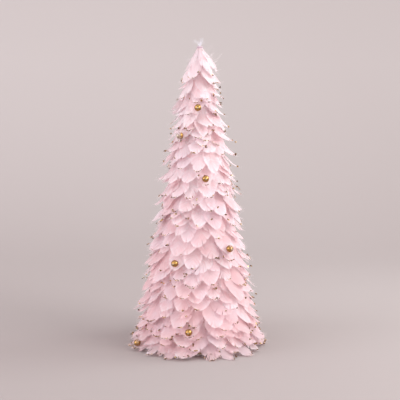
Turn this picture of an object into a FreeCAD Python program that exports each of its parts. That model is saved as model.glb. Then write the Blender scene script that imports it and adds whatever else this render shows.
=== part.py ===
"""Tabletop christmas tree of pink feathers on a foam cone.

The tree stands on its base: Z is up, the origin is the middle of the felt pad's underside, and -Y is the
front. A foam cone is glued to a round board with a felt pad under it. Feathers sewn to cotton tapes go round
the cone strip above strip, each strip hiding the quills of the one below, and the hem strip flares out over
the table. A dowel in the cone's tip carries the crown feathers, a band round their quills and a tuft of down.
Gold beads sit on feathers, each on a pin that is pushed through them into the foam.

Lengths are millimetres and angles are degrees. A strip's feathers lie in three layers that leave the cone at
slightly different angles, so that neighbours overlap without touching.
"""

import FreeCAD
import Part
import math
import os
from collections import namedtuple

from FreeCAD import Vector

# Foam cone
foam_base_radius = 75.0
foam_tip_radius = 7.5
foam_height = 425.0

# Board and felt pad
board_thickness = 4.0
board_inset = 3.0
board_edge_round = 1.0
felt_thickness = 1.5
felt_inset = 2.0

# Cotton tape that each strip's quills are sewn to
tape_height = 8.0
tape_thickness = 0.8
tape_end_gap = 1.5
glue_gap = 0.15
quill_gap = 0.2

# Strips
strip_spacing = 19.8
hem_floor_gap = 1.5
tip_margin = 4.0

# Feathers
feather_thickness = 0.5
quill_width = 2.4
quill_length = 9.0
hem_feather_length = 42.0
lower_feather_length = 54.0
upper_feather_length = 43.0
lower_feather_width = 33.0
upper_feather_width = 22.0
root_lift = 5.0
tip_lift = 29.0
layer_lift = 3.2
hem_flare = 38.0
feather_twist = 5.0
feather_sway = 2.0

# Crown feathers round the tip dowel
crown_feather_length = 37.0
crown_feather_width = 21.0
crown_quill_width = 1.4
crown_quill_length = 8.0
crown_root_radius = 2.1
crown_root_lean = 18.0
crown_tip_lean = 46.0
crown_layer_lift = 5.0
crown_count = 6
crown_band_drop = 2.4

# Tip dowel, the band round the crown's quills, and the tuft of down
dowel_radius = 1.5
dowel_out = 14.0
dowel_in = 60.0
bore_clearance = 0.1
band_height = 2.0
band_thickness = 0.5
band_clearance = 0.15
down_foot_radius = 1.6
down_radius = 6.5
down_top_radius = 2.2
down_height = 12.5
seat_gap = 0.2

# Gold beads and their pins
bead_radius = 5.0
bead_seat_gap = 0.2
pin_radius = 0.4
pin_head_radius = 1.0
pin_head_height = 0.6
pin_clearance = 0.1
pin_in_foam = 14.0

# Short pins that hold the ends of the tapes
tape_pin_radius = 0.35
tape_pin_head_radius = 0.9
tape_pin_head_height = 0.3
tape_pin_length = 12.0
tape_pin_from_end = 4.0

# One overrun for every cut
cut_over = 2.0

# Shares of a size that the shape follows
widest_share = 0.62        # of a feather's length, from the root to its widest place
side_length_share = 0.42   # of the way from the quill to the widest place, where the side's arc is set
side_width_share = 0.70    # of half the width, there
lap_share = 0.80           # spacing of a strip's feathers over their width
shell_over_share = 0.08    # how far a strip's shell runs past its feathers
root_flare_share = 0.35    # how much of a strip's flare is there at its root
flare_shares = (1.0, 0.42, 0.20, 0.08)       # flare of the lowest strips, hem first
shortening_shares = (1.0, 0.82, 0.48, 0.15)  # how far their length goes to the hem's
layer_length_shares = (1.0, 0.94, 0.97)
layer_width_shares = (1.0, 0.96, 0.92)
layer_twist_shares = (-1.0, 0.9, -0.3)
spacing_jitter_share = 0.11
bead_down_share = 0.82     # of a feather's length, from the root to its bead
tape_pin_height_share = 0.55
tape_pin_reach_share = 0.7  # of the cone's radius, the furthest that a tape's pin may reach
down_shoulder_share = 0.62
crown_turn_share = 0.5     # of the step between crown feathers, so that two meet at the front

# Beads: the share of the way up the strips, and the bearing in degrees from the front, to the right.
# No two are on one strip.
bead_height_shares = (0.0, 0.10, 0.35, 0.40, 0.65, 0.80, 0.90, 0.15, 0.20, 0.25, 0.50, 0.55, 0.70, 0.85)
bead_bearings = (-60, -6, -26, 38, 8, -36, 1, 138, -136, 164, 146, -158, 176, -142)

LAYERS = 3
JITTER_STEPS = (12.9898, 78.233)
GAP_STEPS = 60
FRONT_BEARING = -90.0
SEAM_BEARING = 90.0
SEAM_STEP = 17.0
START_STEP = 137.5

Curve = namedtuple("Curve", "root_r root_z root_lean bend_radius length")
Strip = namedtuple("Strip", "name root_z length width curves bearings seam has_bead")

half_angle = math.atan2(foam_base_radius - foam_tip_radius, foam_height)
foam_base_z = felt_thickness + board_thickness
foam_top_z = foam_base_z + foam_height
dowel_top_z = foam_top_z + dowel_out


def foam_radius(z):
    """Radius of the foam cone at height z."""
    return foam_base_radius - (z - foam_base_z) * math.tan(half_angle)


def lean_at(curve, along):
    """Angle from the vertical of a feather's curve, at a length along it from the root."""
    return curve.root_lean + along / curve.bend_radius


def point_at(curve, along, out=0.0):
    """Radius and height on a feather's underside, or out from it by a distance."""
    lean = lean_at(curve, along)
    reach = curve.bend_radius - out
    centre_r = curve.root_r + curve.bend_radius * math.cos(curve.root_lean)
    centre_z = curve.root_z + curve.bend_radius * math.sin(curve.root_lean)
    return centre_r - reach * math.cos(lean), centre_z - reach * math.sin(lean)


def curve_from(root_r, root_z, root_lean, tip_lean, length):
    """A feather's curve: an arc that starts at root_lean and ends at tip_lean, in degrees from the vertical."""
    turn = math.radians(tip_lean - root_lean)
    return Curve(root_r, root_z, math.radians(root_lean), length / turn, length)


def strip_curves(root_z, length, flare):
    """The curves of a strip's three layers, from the one nearest the cone outwards."""
    off_cone = (glue_gap + tape_thickness + quill_gap) / math.cos(half_angle)
    root_r = foam_radius(root_z) + off_cone
    cone_lean = math.degrees(half_angle)
    return [
        curve_from(
            root_r,
            root_z,
            cone_lean + root_lift + layer * layer_lift + flare * root_flare_share,
            cone_lean + tip_lift + layer * layer_lift + flare,
            length,
        )
        for layer in range(LAYERS)
    ]


def share_for(shares, index):
    """The share of a strip counted up from the hem, or none above the lowest strips."""
    return shares[index] if index < len(shares) else 0.0


def lay_out_strips():
    """Places the strips from the hem up to the tip. One with a bead starts at the bead's bearing."""
    hem_drop = -point_at(strip_curves(0.0, hem_feather_length, hem_flare)[0], hem_feather_length)[1]
    first_root = hem_floor_gap + hem_drop
    last_root = foam_top_z - tip_margin
    last_index = int((last_root - first_root) / strip_spacing)
    bead_starts = {
        round(height_share * last_index): FRONT_BEARING + bearing
        for height_share, bearing in zip(bead_height_shares, bead_bearings)
    }
    strips = []
    for index in range(last_index + 1):
        height_share = index / last_index
        root_z = first_root + index * strip_spacing
        length = lower_feather_length + (upper_feather_length - lower_feather_length) * height_share
        length += (hem_feather_length - lower_feather_length) * share_for(shortening_shares, index)
        width = lower_feather_width + (upper_feather_width - lower_feather_width) * height_share
        curves = strip_curves(root_z, length, hem_flare * share_for(flare_shares, index))
        widest_r = point_at(curves[0], length * widest_share)[0]
        groups = max(2, round(2 * math.pi * widest_r / (width * lap_share) / LAYERS))
        step = 360.0 / (LAYERS * groups)
        start = bead_starts.get(index, START_STEP * index)
        bearings = [
            start + step * (place + spacing_jitter_share * jitter(index, place))
            for place in range(LAYERS * groups)
        ]
        seam = SEAM_BEARING + SEAM_STEP * (index % 3 - 1)
        strips.append(
            Strip(f"{index + 1:02d}", root_z, length, width, curves, bearings, seam, index in bead_starts)
        )
    return strips


def layer_of(place):
    """The layer of a strip's feather: the first is in the outer one, where a bead can stand."""
    return (LAYERS - 1 - place) % LAYERS


def jitter(strip_index, place):
    """A steady value from -1 to 1 that differs from feather to feather."""
    return math.sin(JITTER_STEPS[0] * (strip_index + 1) + JITTER_STEPS[1] * (place + 1))


def turned(shape, bearing):
    """A copy of a shape that was made over the X axis, turned about Z to a bearing."""
    copy = shape.copy()
    copy.rotate(Vector(0, 0, 0), Vector(0, 0, 1), bearing)
    return copy


def ring(points, angle=360.0):
    """A solid of revolution about Z from (radius, height) points, starting over the X axis."""
    corners = [Vector(r, 0, z) for r, z in points]
    face = Part.Face(Part.makePolygon(corners + corners[:1]))
    return face.revolve(Vector(0, 0, 0), Vector(0, 0, 1), angle)


def rod(start, direction, length, radius):
    """A round rod from a point along a direction."""
    return Part.makeCylinder(radius, length, start, direction)


def arc_edge(curve, start, end, out):
    """The edge of a feather's curve between two lengths along it, out from its underside by a distance."""
    middle = (start + end) / 2
    places = [point_at(curve, along, out) for along in (start, middle, end)]
    return Part.Arc(*[Vector(r, 0, z) for r, z in places]).toShape()


def feather_shell(curve):
    """Half a turn of the thin shell that the feathers on a curve are cut from, centred over the X axis."""
    over = curve.length * shell_over_share
    start, end = -over, curve.length + over
    inner = arc_edge(curve, start, end, 0.0)
    outer = arc_edge(curve, start, end, feather_thickness)
    ends = [
        Part.LineSegment(inner.Vertexes[side].Point, outer.Vertexes[side].Point).toShape()
        for side in (0, 1)
    ]
    face = Part.Face(Part.Wire(Part.__sortEdges__([inner, ends[1], outer, ends[0]])))
    shell = face.revolve(Vector(0, 0, 0), Vector(0, 0, 1), 180.0)
    return turned(shell, -90.0)


def root_frame(curve):
    """A feather's root, the way its chord runs and the way it faces."""
    root_r, root_z = point_at(curve, 0.0)
    end_r, end_z = point_at(curve, curve.length)
    chord = Vector(end_r - root_r, 0, end_z - root_z)
    chord.normalize()
    return Vector(root_r, 0, root_z), chord, Vector(-chord.z, 0, chord.x)


def feather_cutter(curve, length, width, twist, stub_width, stub_length):
    """A prism with a feather's outline, which cuts it from its shell."""
    root, chord, out = root_frame(curve)
    side = Vector(0, 1, 0)
    half_stub, half_width = stub_width / 2, width / 2
    widest = length * widest_share
    side_along = stub_length + (widest - stub_length) * side_length_share
    side_across = half_width * side_width_share

    def place(along, across):
        return root + chord * along + side * across

    def side_arc(sign):
        return Part.Arc(
            place(stub_length, sign * half_stub),
            place(side_along, sign * side_across),
            place(widest, sign * half_width),
        ).toShape()

    edges = [
        Part.LineSegment(place(0, -half_stub), place(0, half_stub)).toShape(),
        Part.LineSegment(place(0, half_stub), place(stub_length, half_stub)).toShape(),
        side_arc(1),
        Part.Arc(place(widest, half_width), place(length, 0), place(widest, -half_width)).toShape(),
        side_arc(-1),
        Part.LineSegment(place(stub_length, -half_stub), place(0, -half_stub)).toShape(),
    ]
    face = Part.Face(Part.Wire(Part.__sortEdges__(edges)))
    face.rotate(root, out, twist)
    depth = length / 2
    face.translate(out * -depth)
    return face.extrude(out * (2 * depth))


def cut_feather(curve, layer, width, stub_width, stub_length):
    """One feather of a layer, over the X axis."""
    cutter = feather_cutter(
        curve,
        curve.length * layer_length_shares[layer],
        width * layer_width_shares[layer],
        feather_twist * layer_twist_shares[layer],
        stub_width,
        stub_length,
    )
    return feather_shell(curve).common(cutter).Solids[0]


def swayed(feather, curve, angle):
    """A copy of a feather, swung sideways about its root."""
    root, chord, out = root_frame(curve)
    copy = feather.copy()
    copy.rotate(root, out, angle)
    return copy


def make_feathers(strip_index, strip, pins):
    """All the feathers of a strip, with a hole wherever a bead's pin passes through."""
    cut = [
        cut_feather(strip.curves[layer], layer, strip.width, quill_width, quill_length)
        for layer in range(LAYERS)
    ]
    feathers = []
    for place, bearing in enumerate(strip.bearings):
        layer = layer_of(place)
        curve = strip.curves[layer]
        sway = feather_sway * jitter(place, strip_index)
        feather = turned(swayed(cut[layer], curve, sway), bearing)
        near = [pin for pin in pins if passes_feather(pin, curve, bearing, strip.width)]
        feathers.append(pierced(feather, near))
    return feathers


def make_tape(strip, bead_pins, own_pin):
    """A strip's cotton tape, glued round the cone, with a gap where its ends meet."""
    low_z, high_z = strip.root_z - tape_height, strip.root_z
    inner = glue_gap / math.cos(half_angle)
    outer = (glue_gap + tape_thickness) / math.cos(half_angle)
    gap_angle = math.degrees(tape_end_gap / foam_radius(high_z))
    band = ring(
        [
            (foam_radius(low_z) + inner, low_z),
            (foam_radius(low_z) + outer, low_z),
            (foam_radius(high_z) + outer, high_z),
            (foam_radius(high_z) + inner, high_z),
        ],
        360.0 - gap_angle,
    )
    near = [pin for pin in bead_pins if low_z - cut_over < pin.start.z < high_z + cut_over]
    return pierced(turned(band, strip.seam + gap_angle / 2), near + [own_pin])


Bead = namedtuple("Bead", "centre inwards")
Pin = namedtuple("Pin", "start inwards length radius head_radius head_height")


def bearing_vector(bearing, r, z):
    """The point at a radius and height on a bearing."""
    angle = math.radians(bearing)
    return Vector(r * math.cos(angle), r * math.sin(angle), z)


def turn_between(one, other):
    """The turn from one bearing to another, in degrees from -180 to 180."""
    return (one - other + 180.0) % 360.0 - 180.0


def place_bead(strip):
    """A strip's bead stands on its first feather, near the tip."""
    curve = strip.curves[layer_of(0)]
    along = curve.length * bead_down_share
    r, z = point_at(curve, along, feather_thickness + bead_seat_gap + bead_radius)
    bearing = strip.bearings[0]
    return Bead(bearing_vector(bearing, r, z), bearing_vector(bearing, -1, 0))


def pin_seat_depth():
    """How deep a flat as wide as the pin's head lies under a bead's surface."""
    return bead_radius - math.sqrt(bead_radius**2 - pin_head_radius**2)


def bead_pin(bead):
    """A bead's level pin: its head on the bead's outer side, its point in the foam."""
    start = bead.centre - bead.inwards * (bead_radius - pin_seat_depth())
    to_foam = math.hypot(start.x, start.y) - foam_radius(start.z)
    return Pin(start, bead.inwards, to_foam + pin_in_foam, pin_radius, pin_head_radius, pin_head_height)


def tape_pin(strip):
    """The pin through one end of a strip's tape."""
    z = strip.root_z - tape_height * tape_pin_height_share
    surface = foam_radius(z) + (glue_gap + tape_thickness) / math.cos(half_angle)
    bearing = strip.seam + math.degrees(tape_pin_from_end / surface)
    outwards = bearing_vector(bearing, math.cos(half_angle), math.sin(half_angle))
    start = bearing_vector(bearing, surface, z) + outwards * seat_gap
    length = min(tape_pin_length, surface * tape_pin_reach_share)
    return Pin(start, outwards * -1, length, tape_pin_radius, tape_pin_head_radius, tape_pin_head_height)


def passes_feather(pin, curve, bearing, width):
    """Whether a level pin passes through a feather, or close beside it."""
    rise = (curve.root_z + curve.bend_radius * math.sin(curve.root_lean) - pin.start.z) / curve.bend_radius
    if abs(rise) > 1:
        return False
    along = (math.asin(rise) - curve.root_lean) * curve.bend_radius
    if not -cut_over < along < curve.length + cut_over:
        return False
    r = point_at(curve, along)[0]
    turn = turn_between(math.degrees(math.atan2(pin.start.y, pin.start.x)), bearing)
    return abs(turn) < 90.0 and abs(r * math.sin(math.radians(turn))) < width / 2 + cut_over


def pin_hole(pin):
    """The clear hole that a pin stands in."""
    return rod(pin.start, pin.inwards, pin.length + pin_clearance, pin.radius + pin_clearance)


def pierced(solid, pins):
    """A solid with a clear hole for each pin that passes through it."""
    return solid.cut([pin_hole(pin) for pin in pins]).Solids[0] if pins else solid


def make_pin(pin):
    """A straight pin with a flat head that bears on what it holds."""
    shaft = rod(pin.start, pin.inwards, pin.length, pin.radius)
    head = rod(pin.start, pin.inwards * -1, pin.head_height, pin.head_radius)
    return shaft.fuse(head).removeSplitter().Solids[0]


def make_bead(bead):
    """A bead with a hole for its pin and a flat where the pin's head bears."""
    ball = Part.makeSphere(bead_radius, bead.centre)
    hole_start = bead.centre - bead.inwards * (bead_radius + cut_over)
    hole = rod(hole_start, bead.inwards, 2 * (bead_radius + cut_over), pin_radius + pin_clearance)
    flat = rod(hole_start, bead.inwards, pin_seat_depth() + cut_over, pin_head_radius + pin_clearance)
    return ball.cut([hole, flat]).Solids[0]


def make_foam(pins):
    """The foam cone with the dowel's bore and a hole for each pin."""
    cone = Part.makeCone(foam_base_radius, foam_tip_radius, foam_height, Vector(0, 0, foam_base_z))
    bore_depth = dowel_in + bore_clearance
    bore_start = Vector(0, 0, foam_top_z - bore_depth)
    bore = rod(bore_start, Vector(0, 0, 1), bore_depth + cut_over, dowel_radius + bore_clearance)
    return cone.cut([bore] + [pin_hole(pin) for pin in pins]).Solids[0]


def make_board():
    """The round board under the cone, its edge rounded."""
    board = rod(Vector(0, 0, felt_thickness), Vector(0, 0, 1), board_thickness, foam_base_radius - board_inset)
    rims = [edge for edge in board.Edges if isinstance(edge.Curve, Part.Circle)]
    return board.makeFillet(board_edge_round, rims)


def make_felt():
    """The felt pad that the tree stands on."""
    return Part.makeCylinder(foam_base_radius - board_inset - felt_inset, felt_thickness)


def make_dowel():
    """The dowel that stands out of the cone's tip."""
    return Part.makeCylinder(dowel_radius, dowel_in + dowel_out, Vector(0, 0, foam_top_z - dowel_in))


def crown_curves():
    """The curves of the crown's three layers of feathers."""
    return [
        curve_from(
            crown_root_radius,
            dowel_top_z,
            crown_root_lean + layer * crown_layer_lift,
            crown_tip_lean + layer * crown_layer_lift,
            crown_feather_length,
        )
        for layer in range(LAYERS)
    ]


def make_crown():
    """The crown feathers, whose quills stand round the dowel."""
    cut = [
        cut_feather(curve, layer, crown_feather_width, crown_quill_width, crown_quill_length)
        for layer, curve in enumerate(crown_curves())
    ]
    step = 360.0 / crown_count
    bearings = [FRONT_BEARING + step * (place + crown_turn_share) for place in range(crown_count)]
    return [turned(cut[layer_of(place)], bearing) for place, bearing in enumerate(bearings)]


def make_band():
    """The band that is wound round the crown's quills."""
    widest = crown_curves()[-1]
    low_z = dowel_top_z - crown_band_drop
    along = crown_band_drop / math.cos(widest.root_lean)
    inner = math.hypot(point_at(widest, along, feather_thickness)[0], crown_quill_width / 2) + band_clearance
    outer = inner + band_thickness
    high_z = low_z + band_height
    return ring([(inner, low_z), (outer, low_z), (outer, high_z), (inner, high_z)])


def make_down():
    """The tuft of down on the dowel's end, as one soft solid."""
    foot_z = dowel_top_z + seat_gap
    shoulder_z = foot_z + down_height * down_shoulder_share
    up = Vector(0, 0, 1)
    lower = Part.makeCone(down_foot_radius, down_radius, shoulder_z - foot_z, Vector(0, 0, foot_z), up)
    top_z = foot_z + down_height
    upper = Part.makeCone(down_radius, down_top_radius, top_z - shoulder_z, Vector(0, 0, shoulder_z), up)
    return lower.fuse(upper).removeSplitter().Solids[0]


def least_gap(below, above):
    """The least gap between the outer layer of one strip and the inner layer of the next, on their curves."""
    steps = range(GAP_STEPS + 1)
    lower = [
        point_at(below.curves[-1], below.length * step / GAP_STEPS, feather_thickness) for step in steps
    ]
    upper = [point_at(above.curves[0], above.length * step / GAP_STEPS) for step in steps]
    return min(math.dist(low, high) for low in lower for high in upper)


def save(name, solids):
    """Writes one sub-part: a solid, or a group of separate solids."""
    shape = solids[0] if len(solids) == 1 else Part.Compound(solids)
    shape.exportStep(os.path.join("parts", name + ".step"))


def main():
    os.makedirs("parts", exist_ok=True)
    strips = lay_out_strips()
    beads = [place_bead(strip) for strip in strips if strip.has_bead]
    bead_pins = [bead_pin(bead) for bead in beads]
    tape_pins = [tape_pin(strip) for strip in strips]

    save("foam_cone", [make_foam(bead_pins + tape_pins)])
    save("base_board", [make_board()])
    save("felt_pad", [make_felt()])
    save("tip_dowel", [make_dowel()])
    save("crown_feathers", make_crown())
    save("crown_band", [make_band()])
    save("crown_down", [make_down()])
    save("gold_beads", [make_bead(bead) for bead in beads])
    save("bead_pins", [make_pin(pin) for pin in bead_pins])
    save("tape_pins", [make_pin(pin) for pin in tape_pins])
    for index, strip in enumerate(strips):
        save("tape_" + strip.name, [make_tape(strip, bead_pins, tape_pins[index])])
        save("feathers_" + strip.name, make_feathers(index, strip, bead_pins))

    gaps = [least_gap(below, above) for below, above in zip(strips, strips[1:])]
    print(f"{len(strips)} strips, {sum(len(strip.bearings) for strip in strips)} feathers in them")
    print(f"least gap between two strips {min(gaps):.2f} mm, above strip {gaps.index(min(gaps)) + 1}")


main()
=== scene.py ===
"""Dresses the feather tree in soft cupped feathers, gold dust and down.

The feathers have frayed rims, the crown has its spray of down, the tips carry gold dust, and the beads are
polished gold, over the tree's own cone, board, tapes and pins.

Lengths are metres, in the tree's own frame: Z up, -Y to the front, the felt pad on the table at zero.
"""

import math
from collections import namedtuple

import bmesh
import bpy
import numpy as np
from mathutils import Matrix, Vector


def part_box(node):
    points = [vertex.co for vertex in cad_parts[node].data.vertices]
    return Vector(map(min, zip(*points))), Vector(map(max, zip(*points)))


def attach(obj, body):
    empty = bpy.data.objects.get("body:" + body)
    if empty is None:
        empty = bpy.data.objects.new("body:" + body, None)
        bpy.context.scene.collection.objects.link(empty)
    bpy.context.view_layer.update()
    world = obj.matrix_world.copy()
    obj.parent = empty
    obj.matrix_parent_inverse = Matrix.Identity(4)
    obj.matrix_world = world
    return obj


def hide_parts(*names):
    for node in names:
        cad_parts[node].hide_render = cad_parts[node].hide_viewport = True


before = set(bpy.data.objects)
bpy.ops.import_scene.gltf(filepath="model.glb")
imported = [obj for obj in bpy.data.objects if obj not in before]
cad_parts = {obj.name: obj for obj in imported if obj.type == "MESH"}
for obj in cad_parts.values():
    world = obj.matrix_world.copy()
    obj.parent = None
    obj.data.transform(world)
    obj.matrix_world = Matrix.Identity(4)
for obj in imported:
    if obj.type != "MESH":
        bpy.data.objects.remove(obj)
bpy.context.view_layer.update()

mm = 0.001
TURN = 2 * math.pi

STRIPS = [f"{index:02d}" for index in range(1, 22)]

Place = namedtuple("Place", "centre_r centre_z bend root_lean length bearing swing half_width")
Form = namedtuple("Form", "widest fullness narrowing")
Blank = namedtuple("Blank", "form along across lift rim faces uv")
Bead = namedtuple("Bead", "centre radius")
Habit = namedtuple("Habit", "width curl cup sway ruffle")
Streaks = namedtuple("Streaks", "along across shift detail roughness weight")
Lamp = namedtuple("Lamp", "name place target size power color")

# Reading the CAD solids
WELD_GRID = 0.001 * mm
ROOT_END = 1.2 * mm
TIP_END = 0.3 * mm
LEAST_REACH = 1 * mm
LEAST_LAID_RADIUS = 3 * mm

# A feather blank lies flat: one unit from quill to tip, one unit from the shaft to its widest place
BLANK_KINDS = 10
CROWN_KINDS = 4
BARBS = 16
BARB_STEPS = 4
QUILL_SHARE = 0.17
SHAFT_END_SHARE = 0.86
WIDEST = (0.47, 0.60)
TIP_FULLNESS = (0.42, 0.68)
TIP_NARROWING = (0.26, 0.66)
NARROWING_POWER = 1.5
BACK_FULLNESS = 0.95
RIM_PACE = 0.92
RIM_ENDS = (0.001, 0.999)
BARB_LAG = 1.5
BARB_BEND = 1.3
RIM_CROWDING = 1.35

# Partings split a vane into clumps of barbs, which lie a little apart
PARTINGS = (1, 4)
CROWN_PARTINGS = (5, 9)
FIRST_PARTED_BARB = 3
PARTING_DEPTHS = (1, 4)
PARTED_END = 0.30
LEVEL_GAP = 1e-5
CLUMP_START = 0.3
CLUMP_SLIDE = 0.018
CLUMP_RISE = 0.6 * mm
CLUMP_REACH = 0.032
BARB_REACH = 0.010

# Frayed ends along a blank's rim
FRAY_COUNT = 40
FRAY_STEPS = 3
FRAY_SHARES = (0.35, 0.995)
FRAY_CROWDING = 0.8
FRAY_HEADING = 1.5
FRAY_SWING = 0.22
FRAY_START_SHARES = (0.985, 0.96)
FRAY_LENGTH = (0.02, 0.15)
FRAY_WIDTH = 0.0052
FRAY_SPREAD = (1, 1.6)
FRAY_TAPER = 0.8
FRAY_RISE = 0.8 * mm

# Shaft, as shares of a blank
SHAFT_STEPS = 5
SHAFT_WIDTH_SHARES = (0, 0.2, 1)
SHAFT_HALF_WIDTHS = (0.05, 0.03, 0.004)
SHAFT_HEIGHT = 0.45 * mm
SHAFT_SINK = 0.05 * mm
SHAFT_FALL = 0.75

# How a feather differs from its CAD solid's plain sheet
CROWN_STRETCH = 1.16
LENGTH_CHANGE = (0.90, 1.10)
RIM_CURL = (-0.4 * mm, 2.6 * mm)
RIM_CURL_POWER = 4
SIDE_BEND = 2.6 * mm
ROLL = 0.14
CURL_START = 0.42
OPENING_PACE = 1.6
RUFFLES = (11, 3)
RUFFLE_POWER = 1.5
BEAD_FREEDOM = 0.2
BEAD_GAP = 0.35 * mm
FLOOR_GAP = 0.4 * mm
FLOOR_GAP_GROWTH = 1 / 3

# How a strip's feathers tend to lie: calm ones, those of the lowest strips from the hem up, and the crown's
CALM_HABIT = Habit(
    width=(0.90, 1.15),
    curl=(-1.5 * mm, 6.5 * mm),
    cup=(-3.6 * mm, 4.2 * mm),
    sway=0.11,
    ruffle=0.6 * mm,
)
HEM_HABIT = Habit(
    width=(0.62, 0.92),
    curl=(-4.0 * mm, 1.0 * mm),
    cup=(0.0, 4.5 * mm),
    sway=0.20,
    ruffle=2.6 * mm,
)
LOW_HABITS = (HEM_HABIT, CALM_HABIT._replace(ruffle=2.0 * mm), CALM_HABIT._replace(ruffle=1.3 * mm))
CROWN_HABIT = CALM_HABIT._replace(width=(0.70, 0.92), curl=(-6.5 * mm, -2.5 * mm))
TINT_SPREAD = 0.5
CROWN_TINT_SPREAD = 0.3

# Smaller feathers tucked in between a strip's own. They sit a little above these, but at the hem also below
TUCKED_SHARES = (2.0, 1.3, 0.9)
TUCKED_SHARE = 0.65
CROWN_TUCKED_SHARE = 1.0
TUCKED_LENGTH = (0.72, 0.94)
TUCKED_WIDTH = (0.60, 0.92)
TUCKED_TURN = (0.25, 0.75)
TUCKED_RISES = ((-0.12, 0.25),)
TUCKED_RISE = (0.15, 0.55)

# Hairs: loose barbs that stand out past the rim
HAIRS_A_FEATHER = (15, 28)
HAIR_STEPS = 4
HAIR_SHARES = (0.5, 0.98)
HAIR_LENGTH = (3 * mm, 10 * mm)
HAIR_WIDTH = 0.25 * mm
HAIR_HEADING = 1.3
HAIR_SWING = 0.3
HAIR_START_SHARES = (0.95, 0.93)
HAIR_BOW = 1.2 * mm
HAIR_TAPER = 0.75
HAIR_RISE = (0.6 * mm, 1.6 * mm)

# Loose barbs that lie over the vane
BARBS_A_FEATHER = (7, 13)
LOOSE_BARB_WIDTH = 0.34 * mm
LOOSE_BARB_SHARES = (0.12, 0.92)
LOOSE_BARB_STARTS = (0.15, 0.5)
LOOSE_BARB_ENDS = (0.98, 1.10)
LOOSE_BARB_WIDTHS = (0.5, 1, 1, 0.8, 0.3)
LOOSE_BARB_LIFT = 0.25 * mm
LOOSE_BARB_WAVE = 0.5 * mm
LOOSE_BARB_WAVES = (1, 3)

# Veils: loose barbs over beads, by the beads' numbers. Their places are in the beads' radii
VEIL_BARBS = {0: 20, 3: 50, 12: 12}
VEIL_STEPS = 9
VEIL_BARB_WIDTH = 0.36 * mm
VEIL_STARTS = (-2.6, -1.3)
VEIL_ENDS = (0.5, 1.7)
VEIL_ASIDE = (-1.1, 1.1)
VEIL_DRIFT = 0.25
VEIL_LIFT = 0.6 * mm
VEIL_RISE = (1.7, 2.1)
VEIL_WIDTH_START = 0.15
VEIL_WIDTH_SPAN = 0.80

# Gold dust
DUSTED_SHARE = 0.60
HEM_DUSTED_SHARE = 0.90
ROW_CHANCE = 0.70
CLOT_FROM = 0.58
HAIR_CLOT_CHANCE = 0.018
TIP_SPAN = 0.36
ROW_FLAKES = (14, 34)
ROW_MIDDLE = 0.25
ROW_SPREAD = (0.10, 0.42)
ROW_END = 1.2
ROW_INSET = 0.018
ROW_LIFT = (0.1 * mm, 0.6 * mm)
ROW_FLAKE_RADIUS = (0.38 * mm, 0.85 * mm)
CLOT_FLAKES = (10, 22)
CLOT_MIDDLE = 0.35
CLOT_SPREAD = (3.2 * mm, 1.3 * mm)
HAIR_CLOT_SPREAD = (0.9 * mm, 1.6 * mm)
CLOT_START_SHARES = (0.985, 0.97)
CLOT_SEAT = 0.3 * mm
CLOT_LIFT = 0.3 * mm
CLOT_DEPTH = 0.4 * mm
CLOT_FLAKE_RADIUS = (0.50 * mm, 1.05 * mm)
# Dust on the beads, kept dark and off their outer ends, also paints a shaded rim round each bead
BEAD_FLAKES = 60
BEAD_FLAKE_RADIUS = (0.40 * mm, 0.85 * mm)
BARE_END_COSINE = 0.66
BEAD_DUST_AND_SHADE_BRIGHTEST = 0.6

# Crown: hairs and loose barbs on its feathers, and fluff on their quills
CROWN_HAIRS = 54
CROWN_HAIR_SHARES = (0.15, 0.98)
CROWN_BARBS = 40
CROWN_FLUFF = 16
FLUFF_STEPS = 5
FLUFF_START = 0.03
FLUFF_REACH = (2.0 * mm, 6.5 * mm)
FLUFF_HEADING = (0.2, 1.3)
FLUFF_BEND = 0.8
FLUFF_RISE = (-1 * mm, 2 * mm)
FLUFF_WIDTH = 0.24 * mm
SOFT_TAPER = 0.7

# Spray of down
DOWN_BARBS = 28
DOWN_STEPS = 7
DOWN_REACH_SHARE = 1.75
DOWN_LEANS = (0.15, 1)
DOWN_RISES = (0.45, 1.0)
DOWN_FOOT_RADIUS = 1.2 * mm
DOWN_BEND = 1.6
DOWN_WAVE = 0.8 * mm
DOWN_WAVE_ANGLE = 2.2
DOWN_WIDTH = 0.22 * mm
BARBULES = 7
BARBULE_SHARES = (0.25, 1.0)
BARBULE_SPREAD = 0.5
BARBULE_RISE = (0.3, 1.3)
BARBULE_LENGTH = (0.8 * mm, 3.0 * mm)
BARBULE_WIDTH = 0.12 * mm
BARBULE_END = 0.3

# Thread round the crown's quills. Its turns overlap a little and lie a little askew
THREAD_TURNS = 5
THREAD_OVERLAP = 1.12
THREAD_SEAT = 1.4
THREAD_TILT = 0.03
THREAD_START = (0, 6)
THREAD_SEGMENTS = (40, 8)

# Where Blender's mix node takes two colours and gives the mixed one
MIX_COLORS = (6, 7)
MIX_RESULT = 2

# Random draws
LIE_SEED = 100
FUZZ_SEED = 200
BEAD_DUST_SEED = 60
CROWN_SEED = 77
DOWN_SEED = 5
THREAD_SEED = 9

# Where hairs and barbs read the vane's pattern and dye: near the tip and at the rim, so they take the rim's
# painted highlight. The plain places are for what has neither
HAIR_U = 0.02
HAIR_LOOK = (1.0, 1.0)
LOOSE_BARB_LOOK = (1.0, 0.96)
VEIL_LOOK = (1.0, 0.98)
FLUFF_LOOK = (0.9, 0.9)
PLAIN_UV = (0.5, 0.5)
PLAIN_LOOK = (0, 0, 0)
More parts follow.
